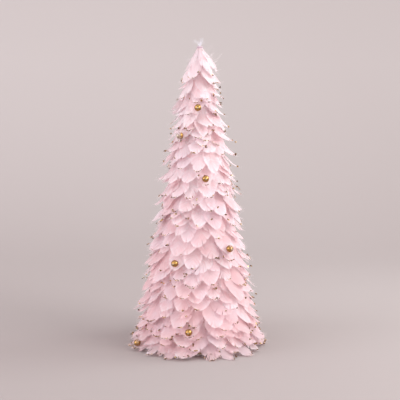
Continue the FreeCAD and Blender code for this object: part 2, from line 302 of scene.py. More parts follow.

# The feathers' dye. The ramp's deep end is painted shade and its palest end painted highlight
# Deep pink of the painted shade towards the quill and of the darker, less lit bottom of the tree
PETAL_SHADE_DEEP = (0.89, 0.64, 0.652)
PETAL_MID = (0.93, 0.745, 0.76)
PETAL_LIGHT = (0.95, 0.83, 0.85)
# Palest stop, reached mostly through the rim's painted highlight and the painted light at the top
PETAL_PALEST_HIGHLIGHT = (0.98, 0.93, 0.945)
PETAL_COOL = (0.88, 0.80, 0.87)
PETAL_GLOW = (0.95, 0.79, 0.81, 1)
SHAFT_TONE = (0.93, 0.78, 0.74)
FEATHER_GLOW_SHARE = 0.50
# The ramp runs from painted shade at its deep end to painted highlight at its palest end
DYE_AND_LIGHT_STOPS = ((0.10, PETAL_SHADE_DEEP), (1.0, PETAL_PALEST_HIGHLIGHT), (0.42, PETAL_MID), (0.72, PETAL_LIGHT))
FINE_STREAKS = Streaks(along=2.5, across=44, shift=31, detail=3.0, roughness=0.6, weight=0.45)
BROAD_STREAKS = Streaks(along=2.0, across=19, shift=17, detail=2.0, roughness=0.5, weight=0.55)
# Painted light from above: the height up to which the feathers grow paler
TOP_LIGHT_HEIGHT = 0.44
NOISE_MIDDLE = 0.5
PATCH_SCALE = 34.0
# Painted shade under the feather above: how far along it gives way, and how much paler the tip is
QUILL_SHADE_SPAN = (0.30, 1.05)
QUILL_SHADE_PALENESS = 0.34
# Painted highlight along the rim: where it starts, and how much paler it makes the rim
RIM_HIGHLIGHT_SPAN = (0.72, 1.0)
RIM_HIGHLIGHT_PALENESS = 0.48
# Painted light from above: how much paler the feathers are at the top
TOP_LIGHT_PALENESS = 1.05
STREAK_PALENESS = 4.0
PATCH_PALENESS = 0.55
TINT_PALENESS = 0.46
DYE_STRENGTH = 0.30
CROWN_PALENESS = 0.10
COOL_SPAN = (0.45, 0.7)
COOL_SHARE = 0.5
SHAFT_TONE_SHARE = 0.6

# Gold dust's colours, by a flake's brightness: the first and the last come first
DUST_STOPS = (
    (0.0, (0.11, 0.055, 0.03)),
    (1.0, (0.95, 0.88, 0.76)),
    (0.42, (0.20, 0.095, 0.035)),
    (0.66, (0.52, 0.29, 0.075)),
    (0.88, (0.86, 0.58, 0.22)),
)

# The other materials' colours, in pairs that their patterns mix
BEAD_TONES = ((0.36, 0.195, 0.062), (0.57, 0.34, 0.125))
BEAD_ROUGHNESS = (0.18, 0.32)
PIN_TONES = ((0.60, 0.50, 0.36), (0.78, 0.70, 0.56))
PIN_ROUGHNESS = (0.22, 0.37)
FOAM_TONES = ((0.84, 0.60, 0.61), (0.92, 0.70, 0.71))
SEAM_TONE = (0.74, 0.50, 0.51)
TAPE_TONES = ((0.80, 0.64, 0.65), (0.94, 0.80, 0.81))
FELT_TONES = ((0.66, 0.58, 0.55), (0.86, 0.80, 0.77))
BOARD_TONES = ((0.36, 0.23, 0.12), (0.60, 0.43, 0.26))
CHIP_TONE = (0.22, 0.13, 0.07)
DOWEL_TONES = ((0.55, 0.37, 0.20), (0.76, 0.58, 0.38))
THREAD_TONES = ((0.46, 0.27, 0.36), (0.72, 0.54, 0.62))
DOWN_TONES = ((0.86, 0.84, 0.93), (0.97, 0.92, 0.96))
DOWN_GLOW = (0.92, 0.90, 0.97, 1)
DOWN_GLOW_SHARE = 0.45

# Their patterns. A span is where in the pattern one colour gives way to the other
WEAR_SPAN = (0.35, 0.75)
SEAM_SPAN = (0.0, 0.16)
WARP_PACE = 420
WEFT_PACE = 7500
WEAVE_SHARE = 0.6
FIBRE_SHARE = 0.7
CHIP_SPAN = (0.56, 0.66)
CHIP_SHARE = 0.5
GRAIN_PACE = (1800, 90)
GRAIN_SPAN = (0.3, 0.7)
WASHED_SPAN = (0.415, 0.43)
WASHED_SHARE = 0.85
CLOUD_SPAN = (0.3, 0.7)

# How high the patterns stand
STREAK_RELIEF = 0.5 * mm
FOAM_RELIEF = 0.3 * mm
WEAVE_RELIEF = 0.12 * mm
FELT_RELIEF = 0.25 * mm
BOARD_RELIEF = 0.1 * mm
DOWEL_RELIEF = 0.05 * mm
THREAD_RELIEF = 0.1 * mm

# Lamps, with their power in watts, the air, and the camera, with its angles in degrees
LAMPS = (
    Lamp("key", (1.45, -0.85, 1.00), (0, 0, 0.40), 0.9, 16, (0.95, 0.98, 0.98)),
    Lamp("rim", (0.70, 0.12, 0.66), (0, 0, 0.40), 0.45, 4.0, (0.86, 0.98, 1.0)),
    Lamp("fill", (-2.5, -1.1, 1.05), (0, 0, 0.36), 1.8, 37, (0.87, 0.91, 1.0)),
    Lamp("spark", (0.10, -1.55, 0.62), (0, 0, 0.24), 0.10, 0.9, (1.0, 0.97, 0.92)),
)
AIR_COLOR = (0.985, 0.97, 0.985, 1)
AIR_STRENGTH = 1.17
CAMERA_DISTANCE = 1.340
CAMERA_HEIGHT = 0.374
CAMERA_PITCH = 6.65
CAMERA_ROLL = 0.5
CAMERA_SIDE = 0.002
VIEW_ANGLE = 25.0

# Floor that sweeps up into a backdrop
FLOOR_SIZE = 8
SWEEP_BACK = 2.2
SWEEP_TOP = 3.5
SWEEP_BEND = 1.5
SWEEP_STEPS = 18
FLOOR_TONE = (0.364, 0.308, 0.299)
WALL_TONE = (0.520, 0.460, 0.448)
TONE_SPAN = (0.1, 1.8)


def clear_selection():
    """Leaves nothing selected, in object mode."""
    if bpy.context.mode != "OBJECT":
        bpy.ops.object.mode_set(mode="OBJECT")
    bpy.ops.object.select_all(action="DESELECT")


def points_of(mesh):
    """A mesh's corners as rows of x, y and z."""
    flat = np.empty(len(mesh.vertices) * 3)
    mesh.vertices.foreach_get("co", flat)
    return flat.reshape(-1, 3)


def triangles_of(mesh):
    """A mesh's triangles as rows of three corner numbers."""
    mesh.calc_loop_triangles()
    flat = np.empty(len(mesh.loop_triangles) * 3, int)
    mesh.loop_triangles.foreach_get("vertices", flat)
    return flat.reshape(-1, 3)


def loose_parts(node):
    """The separate solids of a CAD node, each as its own rows of corners."""
    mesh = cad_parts[node].data
    points = points_of(mesh)
    _, weld = np.unique(np.round(points / WELD_GRID).astype(np.int64), axis=0, return_inverse=True)
    weld = weld.reshape(-1)
    corners = weld[triangles_of(mesh)]
    label = np.arange(weld.max() + 1)
    while True:
        low = label[corners].min(axis=1)
        joined = label.copy()
        for column in range(3):
            np.minimum.at(joined, corners[:, column], low)
        joined = joined[joined]
        if (joined == label).all():
            break
        label = joined
    solid = label[weld]
    return [points[solid == part] for part in np.unique(solid)]


def turn_between(one, other):
    """The turn from one bearing to another, in radians from -pi to pi."""
    return (one - other + math.pi) % TURN - math.pi


def read_place(points):
    """Where a CAD feather lies: the arc it follows down from the cone, its bearing and its width."""
    r = np.hypot(points[:, 0], points[:, 1])
    z = points[:, 2]
    fit = np.linalg.lstsq(np.c_[2 * r, 2 * z, np.ones(len(r))], r**2 + z**2, rcond=None)[0]
    centre_r, centre_z = fit[0], fit[1]
    bend = math.sqrt(fit[2] + centre_r**2 + centre_z**2)
    lean = np.arctan2(centre_z - z, centre_r - r)
    root_lean, tip_lean = lean.min(), lean.max()
    length = (tip_lean - root_lean) * bend
    root = points[lean < root_lean + ROOT_END / bend].mean(axis=0)
    tip = points[lean > tip_lean - TIP_END / bend].mean(axis=0)
    bearing = math.atan2(root[1], root[0])
    tip_r = math.hypot(tip[0], tip[1])
    swing = turn_between(math.atan2(tip[1], tip[0]), bearing) * tip_r / length
    along = (lean - root_lean) * bend
    middle = bearing + swing * along / np.maximum(r, LEAST_REACH)
    turn = turn_between(np.arctan2(points[:, 1], points[:, 0]), middle)
    half_width = np.abs(r * np.sin(turn)).max()
    return Place(centre_r, centre_z, bend, root_lean, length, bearing, swing, half_width)


def laid(place, along, across, out):
    """Places points on the arc that a CAD solid follows.

    The points are given along, across and out from the feather's sheet.
    """
    lean = place.root_lean + along / place.bend
    reach = place.bend - out
    r = place.centre_r - reach * np.cos(lean)
    z = place.centre_z - reach * np.sin(lean)
    turn = place.bearing + (across + place.swing * along) / np.maximum(r, LEAST_LAID_RADIUS)
    return np.stack([r * np.cos(turn), r * np.sin(turn), z], axis=-1)


def read_bead(points):
    """A CAD bead's centre and radius."""
    low, high = points.min(axis=0), points.max(axis=0)
    return Bead((low + high) / 2, (high[2] - low[2]) / 2)


def seat_of(place, bead):
    """How far along, aside and out from a feather's sheet a bead's centre is."""
    r = math.hypot(bead.centre[0], bead.centre[1])
    fall, reach = place.centre_z - bead.centre[2], place.centre_r - r
    along = (math.atan2(fall, reach) - place.root_lean) * place.bend
    aside = turn_between(math.atan2(bead.centre[1], bead.centre[0]), place.bearing) * r
    return along, aside, place.bend - math.hypot(fall, reach)


def carries_bead(place, beads):
    """Whether a bead stands on this feather."""
    for bead in beads:
        along, aside, out = seat_of(place, bead)
        on_sheet = abs(aside) < place.half_width / 2 and 0 < along < place.length
        if on_sheet and 0 < out < 2 * bead.radius:
            return True
    return False


def lies_near(place, bead):
    """Whether a feather could reach a bead."""
    middle = laid(place, np.array(place.length / 2), np.array(0.0), np.array(0.0))
    return np.linalg.norm(middle - bead.centre) < place.length


def keep_off(points, beads):
    """Moves the points that would be inside a bead out to its surface."""
    for bead in beads:
        away = points - bead.centre
        reach = np.linalg.norm(away, axis=-1, keepdims=True)
        least = bead.radius + BEAD_GAP
        moved = bead.centre + away * least / np.maximum(reach, LEAST_REACH)
        points = np.where(reach < least, moved, points)
    return points


def rim_at(form, share):
    """The place on a blank's rim where the barb at a share of the way up the shaft ends."""
    swing = math.pi * share**RIM_PACE
    ahead = -np.cos(swing)
    front = ahead > 0
    along = form.widest + ahead * np.where(front, 1 - form.widest, form.widest - QUILL_SHARE)
    fullness = np.where(front, form.fullness, BACK_FULLNESS)
    across = np.sin(swing).clip(0, 1) ** fullness
    return along, across * (1 - form.narrowing * ahead.clip(0, 1) ** NARROWING_POWER)


def tip_at(form, turn):
    """The place on a blank's rim at a turn from the very tip, and the side it is on as a sign."""
    rim_along, rim_across = rim_at(form, np.array(1 - abs(turn) * TIP_SPAN).clip(*RIM_ENDS))
    return rim_along, math.copysign(rim_across, turn)


def part_barbs(plate, partings, rng):
    """Parts a few of a plate's barbs from their neighbours, from the rim inwards.

    Returns how deep each gap runs, for each side.
    """
    depths = {-1: np.zeros(BARBS + 1, int), 1: np.zeros(BARBS + 1, int)}
    for side in (-1, 1):
        for line in rng.integers(FIRST_PARTED_BARB, BARBS, rng.integers(*partings)):
            depths[side][line] = rng.integers(*PARTING_DEPTHS)
    bpy.ops.object.mode_set(mode="EDIT")
    bpy.ops.mesh.select_mode(type="EDGE")
    bpy.ops.mesh.select_all(action="DESELECT")
    shape = bmesh.from_edit_mesh(plate.data)
    for edge in shape.edges:
        one, other = edge.verts
        level = abs(one.co.y - other.co.y) < LEVEL_GAP
        middle_x = (one.co.x + other.co.x) / 2
        line = round((one.co.y + 1) / 2 * BARBS)
        steps_in = (1 - abs(middle_x)) * BARB_STEPS
        depth = depths[1 if middle_x > 0 else -1][line]
        edge.select_set(bool(level and steps_in < depth))
    bmesh.update_edit_mesh(plate.data)
    bpy.ops.mesh.edge_split(type="EDGE")
    bpy.ops.object.mode_set(mode="OBJECT")
    return depths


def plate_blank(form, partings, rng):
    """Models the two vanes of a blank as one plate, whose rows run out from the shaft as the barbs do."""
    clear_selection()
    bpy.ops.mesh.primitive_grid_add(x_subdivisions=2 * BARB_STEPS, y_subdivisions=BARBS, size=2)
    plate = bpy.context.object
    depths = part_barbs(plate, partings, rng)
    mesh = plate.data
    flat = points_of(mesh)
    barb = np.zeros(len(flat))
    for face in mesh.polygons:
        middle_y = np.mean([flat[corner][1] for corner in face.vertices])
        for corner in face.vertices:
            barb[corner] = (middle_y + 1) / 2 * BARBS
    side = np.where(flat[:, 0] < 0, -1, 1)
    line = (flat[:, 1] + 1) / 2 * BARBS
    line_number = line.round().astype(int)
    steps_in = (1 - np.abs(flat[:, 0])) * BARB_STEPS
    depth = np.where(side < 0, depths[-1][line_number], depths[1][line_number])
    opening = np.clip((depth - steps_in) / np.maximum(depth, 1), 0, 1) * (1 - PARTED_END)
    row = line + (barb - line) * opening
    out_share = 1 - (1 - np.abs(flat[:, 0])) ** RIM_CROWDING
    rim_along, rim_across = rim_at(form, (row / BARBS).clip(*RIM_ENDS))
    root_along = barb_root(line / BARBS)
    along = root_along + (rim_along - root_along) * out_share**BARB_BEND
    across = rim_across * out_share
    lift = np.zeros(len(flat))
    free = np.clip((out_share - CLUMP_START) / (1 - CLUMP_START), 0, 1)
    for sign in (-1, 1):
        clump = np.cumsum(depths[sign] > 0)[np.floor(barb).astype(int).clip(0, BARBS)]
        slide = rng.normal(0, CLUMP_SLIDE, BARBS + 2)[clump]
        raised = rng.normal(0, CLUMP_RISE, BARBS + 2)[clump]
        reach = rng.normal(0, CLUMP_REACH, BARBS + 2)[clump]
        reach = reach + rng.normal(0, BARB_REACH, BARBS + 1)[line_number]
        mine = (side == sign) & (out_share > 0)
        along[mine] += (slide * free)[mine]
        across[mine] *= (1 + reach * free)[mine]
        lift[mine] = (raised * free)[mine]
    faces = np.array([face.vertices[:] for face in mesh.polygons])
    uv = np.empty(len(mesh.loops) * 2)
    mesh.uv_layers[0].data.foreach_get("uv", uv)
    bpy.data.objects.remove(plate)
    return along, across * side, lift, out_share, faces, uv.reshape(-1, 2)


def barb_root(share):
    """How far along a blank the barb at a share of the way up the shaft leaves it."""
    return QUILL_SHARE + (SHAFT_END_SHARE - QUILL_SHARE) * share**BARB_LAG


def ribbon_faces(steps):
    """The faces of a narrow strip, whose corners are listed up one edge and then up the other."""
    return np.array([[k, k + 1, k + steps + 1, k + steps] for k in range(steps - 1)])


def fray_blank(form, rng):
    """Short barb ends that stand out past a blank's rim, each a narrow strip of two faces."""
    parts = []
    steps = np.linspace(0, 1, FRAY_STEPS)[:, None]
    for number in range(FRAY_COUNT):
        share = rng.uniform(*FRAY_SHARES) ** FRAY_CROWDING
        side = rng.choice([-1, 1])
        start = np.array(rim_at(form, np.array(share))) * FRAY_START_SHARES
        heading = (1 - share) * FRAY_HEADING + rng.normal(0, FRAY_SWING)
        forwards = np.array([math.cos(heading), math.sin(heading)])
        sideways = np.array([-forwards[1], forwards[0]]) * FRAY_WIDTH
        path = start + steps * rng.uniform(*FRAY_LENGTH) * forwards * FRAY_SPREAD
        taper = 1 - FRAY_TAPER * steps
        rail = np.concatenate([path + sideways * taper, path - sideways * taper])
        faces = ribbon_faces(FRAY_STEPS) + len(rail) * number
        lift = np.tile(steps[:, 0] ** 2, 2) * rng.normal(0, FRAY_RISE)
        uv = np.tile([HAIR_U, share], (faces.size, 1))
        parts.append((rail[:, 0], rail[:, 1] * side, lift, faces if side > 0 else faces[:, ::-1], uv))
    along, across, lift, faces, uv = (np.concatenate(column) for column in zip(*parts))
    # Frayed ends count as rim, so they take the rim's painted highlight
    return along, across, lift, np.ones(len(along)), faces, uv


def shaft_blank():
    """Models the shaft: a low ridge that tapers from the quill to a point."""
    clear_selection()
    bpy.ops.mesh.primitive_grid_add(x_subdivisions=2, y_subdivisions=SHAFT_STEPS, size=2)
    ridge = bpy.context.object
    flat = points_of(ridge.data)
    faces = np.array([face.vertices[:] for face in ridge.data.polygons])
    bpy.data.objects.remove(ridge)
    share = (flat[:, 1] + 1) / 2
    width = np.interp(share, SHAFT_WIDTH_SHARES, SHAFT_HALF_WIDTHS)
    crest = np.abs(flat[:, 0]) < 1 / 2
    lift = np.where(crest, SHAFT_HEIGHT * (1 - SHAFT_FALL * share), -SHAFT_SINK)
    uv = np.tile(PLAIN_UV, (faces.size, 1))
    return share * SHAFT_END_SHARE, flat[:, 0] * width, lift, np.full(len(flat), -1.0), faces, uv


def make_blank(seed, partings):
    """Models one flat feather: its vanes, the frayed ends along their rim and the shaft."""
    rng = np.random.default_rng(seed)
    form = Form(rng.uniform(*WIDEST), rng.uniform(*TIP_FULLNESS), rng.uniform(*TIP_NARROWING))
    parts = [plate_blank(form, partings, rng), fray_blank(form, rng), shaft_blank()]
    along, across, lift, rim = (np.concatenate([part[k] for part in parts]) for k in range(4))
    starts = np.cumsum([0] + [len(part[0]) for part in parts])
    faces = np.concatenate([part[4] + start for part, start in zip(parts, starts)])
    uv = np.concatenate([part[5] for part in parts])
    return Blank(form, along, across, lift, rim, faces, uv)


class Lie:
    """How one feather lies: its own size, cup, curl and bend, over the arc that its CAD solid follows.

    A feather that carries a bead keeps near that arc.
    """

    def __init__(self, place, rng, habit, beads):
        freedom = BEAD_FREEDOM if carries_bead(place, beads) else 1.0
        self.place = place
        self.beads = [bead for bead in beads if lies_near(place, bead)]
        self.length = place.length * (1 + freedom * (rng.uniform(*LENGTH_CHANGE) - 1))
        self.half_width = place.half_width * (1 + freedom * (rng.uniform(*habit.width) - 1))
        self.side = rng.choice([-1, 1])
        self.curl = freedom * rng.uniform(*habit.curl)
        self.cup = freedom * rng.uniform(*habit.cup)
        self.rim_curl = freedom * rng.uniform(*RIM_CURL)
        self.roll = freedom * rng.normal(0, ROLL)
        self.bend = freedom * rng.normal(0, SIDE_BEND)
        self.sway = freedom * rng.normal(0, habit.sway)
        self.ruffle = freedom * habit.ruffle
        self.phase = rng.uniform(0, TURN)
        self.floor_gap = FLOOR_GAP * (1 + FLOOR_GAP_GROWTH * self.phase)

    def points(self, along, across, lift):
        """Places shares of the length and of the half width, raised from the sheet."""
        free = np.clip((along - CURL_START) / (1 - CURL_START), 0, None)
        opened = np.clip(along * OPENING_PACE, 0, 1)
        wave = np.sin(self.phase + RUFFLES[0] * along + RUFFLES[1] * across)
        out = lift + self.curl * free**2
        out = out - self.cup * across**2 * opened
        out = out + self.rim_curl * across**RIM_CURL_POWER * free
        out = out + self.roll * across * self.half_width * along
        out = out + self.ruffle * wave * along * np.abs(across) ** RUFFLE_POWER
        sideways = across * self.half_width * self.side
        sideways = sideways + self.bend * free**2 + self.sway * along * self.length
        points = keep_off(laid(self.place, along * self.length, sideways, out), self.beads)
        points[..., 2] = np.maximum(points[..., 2], self.floor_gap)
        return points


class Coat:
    """Gathers the corners and faces of one piece from many feathers, hairs or flakes."""

    def __init__(self):
        self.points = []
        self.faces = []
        self.uv = []
        self.look = []
        self.count = 0

    def add(self, points, faces, uv, look):
        """Adds faces. look holds each corner's tint, place along the feather and nearness to the rim."""
        self.points.append(points)
        self.faces += (faces + self.count).tolist()
        self.uv.append(uv)
        self.look.append(look)
        self.count += len(points)

    def add_ribbon(self, rail, place, look):
        """Adds a narrow strip of faces, which has one place on the vane's pattern and one look."""
        faces = ribbon_faces(len(rail) // 2)
        self.add(rail, faces, np.tile(place, (faces.size, 1)), np.tile(look, (len(rail), 1)))

    def piece(self, name, material, slot, nodes=()):
        """Makes the gathered faces one object that rides on the tree."""
        mesh = bpy.data.meshes.new(name)
        mesh.from_pydata(np.concatenate(self.points).tolist(), [], self.faces)
        layer = mesh.uv_layers.new(name="vane")
        layer.data.foreach_set("uv", np.concatenate(self.uv).reshape(-1))
        look = mesh.attributes.new("look", "FLOAT_VECTOR", "POINT")
        look.data.foreach_set("vector", np.concatenate(self.look).reshape(-1))
        mesh.shade_smooth()
        piece = bpy.data.objects.new(name, mesh)
        bpy.context.scene.collection.objects.link(piece)
        dress(piece, material, nodes)


def dress(piece, material, nodes=()):
    """Gives a finished piece its material and its place on the tree."""
    piece.data.materials.clear()
    piece.data.materials.append(material)
    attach(piece, "root")
    if nodes:
        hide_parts(*nodes)


def lay_feather(coat, blank, lie, tint):
    """Lays a blank as one feather. Its faces are turned so that they face out from the tree."""
    corners = blank.uv.reshape(-1, 4, 2)
    faces = blank.faces
    if lie.side > 0:
        faces = faces[:, ::-1]
        corners = corners[:, ::-1]
    look = np.stack([np.full(len(blank.along), tint), blank.along, blank.rim], axis=-1)
    coat.add(lie.points(blank.along, blank.across, blank.lift), faces, corners.reshape(-1, 2), look)


def add_hair(coat, form, lie, rng, tint, shares=HAIR_SHARES):
    """One loose barb that stands out past a feather's rim near its tip. Returns its end, in shares."""
    share = rng.uniform(*shares)
    side = rng.choice([-1, 1])
    start = np.array(rim_at(form, np.array(share))) * HAIR_START_SHARES * [1, side]
    reach = rng.uniform(*HAIR_LENGTH)
    heading = (1 - share) * HAIR_HEADING + rng.normal(0, HAIR_SWING)
    forwards = np.array([math.cos(heading) / lie.length, math.sin(heading) * side / lie.half_width])
    sideways = np.array([-math.sin(heading) * side / lie.length, math.cos(heading) / lie.half_width])
    steps = np.linspace(0, 1, HAIR_STEPS)[:, None]
    bow = rng.normal(0, HAIR_BOW)
    path = start + steps * reach * forwards + steps**2 * bow * sideways
    half = sideways * (1 - HAIR_TAPER * steps) * HAIR_WIDTH / 2
    rail = np.concatenate([path + half, path - half])
    lift = np.tile(steps[:, 0] ** 2, 2) * rng.normal(*HAIR_RISE)
    coat.add_ribbon(lie.points(rail[:, 0], rail[:, 1], lift), (HAIR_U, share), (tint, *HAIR_LOOK))
    return path[-1], lift[-1]


def add_barb(coat, form, lie, rng, tint):
    """One loose barb that lies over the vane, from near the shaft to just past the rim."""
    share = rng.uniform(*LOOSE_BARB_SHARES)
    side = rng.choice([-1, 1])
    rim_along, rim_across = rim_at(form, np.array(share))
    root_along = barb_root(share)
    widths = np.array(LOOSE_BARB_WIDTHS)
    steps = np.linspace(rng.uniform(*LOOSE_BARB_STARTS), rng.uniform(*LOOSE_BARB_ENDS), len(widths))
    along = root_along + (rim_along - root_along) * steps**BARB_BEND
    across = rim_across * steps * side
    half = LOOSE_BARB_WIDTH / 2 / lie.length * widths
    lift = LOOSE_BARB_LIFT + LOOSE_BARB_WAVE * np.sin(steps * rng.uniform(*LOOSE_BARB_WAVES)) ** 2
    rail = lie.points(np.r_[along + half, along - half], np.r_[across, across], np.r_[lift, lift])
    coat.add_ribbon(rail, (HAIR_U, share), (tint, *LOOSE_BARB_LOOK))


def veil_bead(coat, lie, bead, count, rng, tint):
    """Barbs that lie over a bead from the fringe above it, and hide part of it."""
    seat_along, seat_aside, _ = seat_of(lie.place, bead)
    steps = np.linspace(0, 1, VEIL_STEPS)
    swell = np.sin(math.pi * (VEIL_WIDTH_START + VEIL_WIDTH_SPAN * steps))
    for _ in range(count):
        start, end = rng.uniform(*VEIL_STARTS), rng.uniform(*VEIL_ENDS)
        aside = rng.uniform(*VEIL_ASIDE) + rng.normal(0, VEIL_DRIFT) * steps
        along = (seat_along + (start + (end - start) * steps) * bead.radius) / lie.length
        across = (seat_aside + aside * bead.radius) / lie.half_width * lie.side
        half = VEIL_BARB_WIDTH / 2 / lie.half_width * swell
        lift = VEIL_LIFT + bead.radius * rng.uniform(*VEIL_RISE) * np.sin(math.pi * steps)
        rail = lie.points(np.r_[along, along], np.r_[across + half, across - half], np.r_[lift, lift])
        coat.add_ribbon(rail, (HAIR_U, rng.random()), (tint, *VEIL_LOOK))


def flake_blank():
    """Models one flake of gold dust: a flat six-sided plate."""
    clear_selection()
    bpy.ops.mesh.primitive_circle_add(vertices=6, radius=1, fill_type="NGON")
    plate = bpy.context.object
    points = points_of(plate.data)
    faces = np.array([face.vertices[:] for face in plate.data.polygons])
    bpy.data.objects.remove(plate)
    return points, faces


def add_flake(dust, flake, middle, radius, rng, brightest=1.0):
    """Sticks one flake at a point, tilted any way."""
    points, faces = flake
    tilt = Matrix.Rotation(rng.uniform(0, TURN), 3, Vector(rng.normal(0, 1, 3)).normalized())
    look = np.tile([rng.uniform(0, brightest), 0, 0], (len(points), 1))
    corners = middle + points * radius @ np.array(tilt)
    corners[:, 2] = np.maximum(corners[:, 2], 0)
    dust.add(corners, faces, np.tile(PLAIN_UV, (faces.size, 1)), look)


def add_row(dust, flake, form, lie, rng):
    """Flakes in a row along a feather's tip, where it was dipped."""
    middle = rng.normal(0, ROW_MIDDLE)
    spread = rng.uniform(*ROW_SPREAD)
    for _ in range(rng.integers(*ROW_FLAKES)):
        turn = np.clip(middle + rng.normal(0, spread), -ROW_END, ROW_END)
        inset = 1 - abs(rng.normal(0, ROW_INSET))
        along, across = tip_at(form, turn)
        lift = rng.uniform(*ROW_LIFT)
        at = lie.points(np.array([along * inset]), np.array([across * inset]), np.array([lift]))
        add_flake(dust, flake, at, rng.uniform(*ROW_FLAKE_RADIUS), rng)


def add_clot(dust, flake, lie, end, lift, spread, rng):
    """A clot of larger flakes at the tip of a feather or the end of a hair.

    The spread is how wide it is sideways and down the feather.
    """
    count = rng.integers(*CLOT_FLAKES)
    along = end[0] + rng.normal(0, spread[1] / 2, count) / lie.length
    across = end[1] + rng.normal(0, spread[0] / 2, count) / lie.half_width
    middles = lie.points(along, across, lift + rng.normal(CLOT_LIFT, CLOT_DEPTH, count))
    for middle in middles:
        add_flake(dust, flake, middle, rng.uniform(*CLOT_FLAKE_RADIUS), rng)


def dust_feather(dust, flake, form, lie, rng):
    """Dusts a feather's tip with a row of flakes, a clot of them, or both."""
    kind = rng.random()
    if kind < ROW_CHANCE:
        add_row(dust, flake, form, lie, rng)
    if kind > CLOT_FROM:
        end = np.array(tip_at(form, rng.normal(0, CLOT_MIDDLE))) * CLOT_START_SHARES
        add_clot(dust, flake, lie, end, CLOT_SEAT, CLOT_SPREAD, rng)


def dust_and_shade_bead(dust, flake, bead, rng):
    """Flakes stuck all over a bead but for its outer end, where the pin's head is.

    They are kept dark, so that besides dust they paint a shaded rim round the bead.
    """
    outwards = bead.centre * [1, 1, 0]
    outwards = outwards / np.linalg.norm(outwards)
    for _ in range(BEAD_FLAKES):
        heading = rng.normal(0, 1, 3)
        heading = heading / np.linalg.norm(heading)
        if heading @ outwards < BARE_END_COSINE:
            radius = rng.uniform(*BEAD_FLAKE_RADIUS)
            at = bead.centre + heading * bead.radius
            # Real dust, kept dark to paint shade round the bead
            add_flake(dust, flake, at, radius, rng, BEAD_DUST_AND_SHADE_BRIGHTEST)


class Paint:
    """A material's nodes, written as sums."""

    def __init__(self, name):
        self.material = bpy.data.materials.new(name)
        self.material.use_nodes = True
        self.tree = self.material.node_tree
        self.shader = self.tree.nodes["Principled BSDF"]
        self.output = self.tree.nodes["Material Output"]

    def node(self, kind, settings=None, inputs=None, output=0):
        """Adds a node, sets it up, fills its sockets with values or links and returns one output."""
        node = self.tree.nodes.new(kind)
        for key, value in (settings or {}).items():
            if key == "stops":
                self.set_stops(node, value)
            else:
                setattr(node, key, value)
        for key, value in (inputs or {}).items():
            if isinstance(value, Link):
                self.tree.links.new(value.socket, node.inputs[key])
            else:
                node.inputs[key].default_value = value
        return Link(self, node.outputs[output])

    def set_stops(self, node, stops):
        """Gives a ramp its stops. It starts with two, so the first and the last stop come first."""
        ramp = node.color_ramp
        for index, (place, color) in enumerate(stops):
            stop = ramp.elements[index] if index < 2 else ramp.elements.new(place)
            stop.position = place
            stop.color = (*color, 1)

    def ramp(self, part, *stops):
        """A colour that runs through stops, the first and the last given first."""
        return self.node("ShaderNodeValToRGB", {"stops": stops}, {0: part})

    def mix(self, factor, one, other):
        """One colour where the factor is 0, the other where it is 1."""
        inputs = {0: factor}
        for place, color in zip(MIX_COLORS, (one, other)):
            inputs[place] = color if isinstance(color, Link) else (*color, 1)
        return self.node("ShaderNodeMix", {"data_type": "RGBA"}, inputs, MIX_RESULT)

    def place(self):
        """The place on the tree, in metres."""
        return self.node("ShaderNodeTexCoord", None, None, "Object")

    def point(self, x, y, z):
        """A place put together from three numbers."""
        return self.node("ShaderNodeCombineXYZ", None, {0: x, 1: y, 2: z})

    def look(self):
        """Each corner's tint, place along the feather and nearness to the rim, as a piece keeps them."""
        return self.node("ShaderNodeAttribute", {"attribute_name": "look"}, None, "Vector")

    def noise(self, at, scale, detail=2.0, roughness=0.5):
        """Soft noise from 0 to 1."""
        inputs = {"Vector": at, "Scale": scale, "Detail": detail, "Roughness": roughness}
        return self.node("ShaderNodeTexNoise", None, inputs)

    def bump(self, height, distance, strength=1.0):
        """The normal of a surface with a height given in shares of a distance."""
        inputs = {"Strength": strength, "Distance": distance, "Height": height}
        return self.node("ShaderNodeBump", None, inputs)

    def feed(self, **sockets):
        """Sets or links the shader's sockets, named with underscores."""
        for key, value in sockets.items():
            socket = self.shader.inputs[key.replace("_", " ")]
            if isinstance(value, Link):
                self.tree.links.new(value.socket, socket)
            else:
                socket.default_value = value
        return self.material

    def let_through(self, share, color):
        """Lets a share of the light come through in a colour, as thin vanes and down do."""
        glow = self.node("ShaderNodeBsdfTranslucent", None, {"Color": color})
        front = Link(self, self.shader.outputs[0])
        mixed = self.node("ShaderNodeMixShader", None, {0: share, 1: front, 2: glow})
        self.tree.links.new(mixed.socket, self.output.inputs[0])
        return self.material


class Link:
    """A node's output, which sums can use as a number."""

    def __init__(self, paint, socket):
        self.paint = paint
        self.socket = socket

    def math(self, operation, other):
        """This number and another, put through a math node."""
        return self.paint.node("ShaderNodeMath", {"operation": operation}, {0: self, 1: other})

    def __add__(self, other):
        return self.math("ADD", other)

    def __mul__(self, other):
        return self.math("MULTIPLY", other)

    def __sub__(self, other):
        return self.math("SUBTRACT", other)

    def at_least(self, other):
        """This number or another, whichever is greater."""
        return self.math("MAXIMUM", other)

    def at_most(self, other):
        """This number or another, whichever is smaller."""
        return self.math("MINIMUM", other)

    def between(self, low, high):
        """How far this number has gone from low to high, as a share from 0 to 1."""
        return ((self - low) * (1 / (high - low))).at_least(0).at_most(1)

    def spread(self, low, high):
        """The number that lies this share of the way from low to high."""
        return self * (high - low) + low

    def part(self, axis):
        """One part of a vector."""
        return self.paint.node("ShaderNodeSeparateXYZ", None, {0: self}, "XYZ".index(axis))


def streaks(paint, uv, tint, kind):
    """Noise drawn out along the barbs, shifted from feather to feather, times its weight."""
    at = paint.point(uv.part("X") * kind.along, uv.part("Y") * kind.across, tint * kind.shift)
    return paint.noise(at, scale=1.0, detail=kind.detail, roughness=kind.roughness) * kind.weight


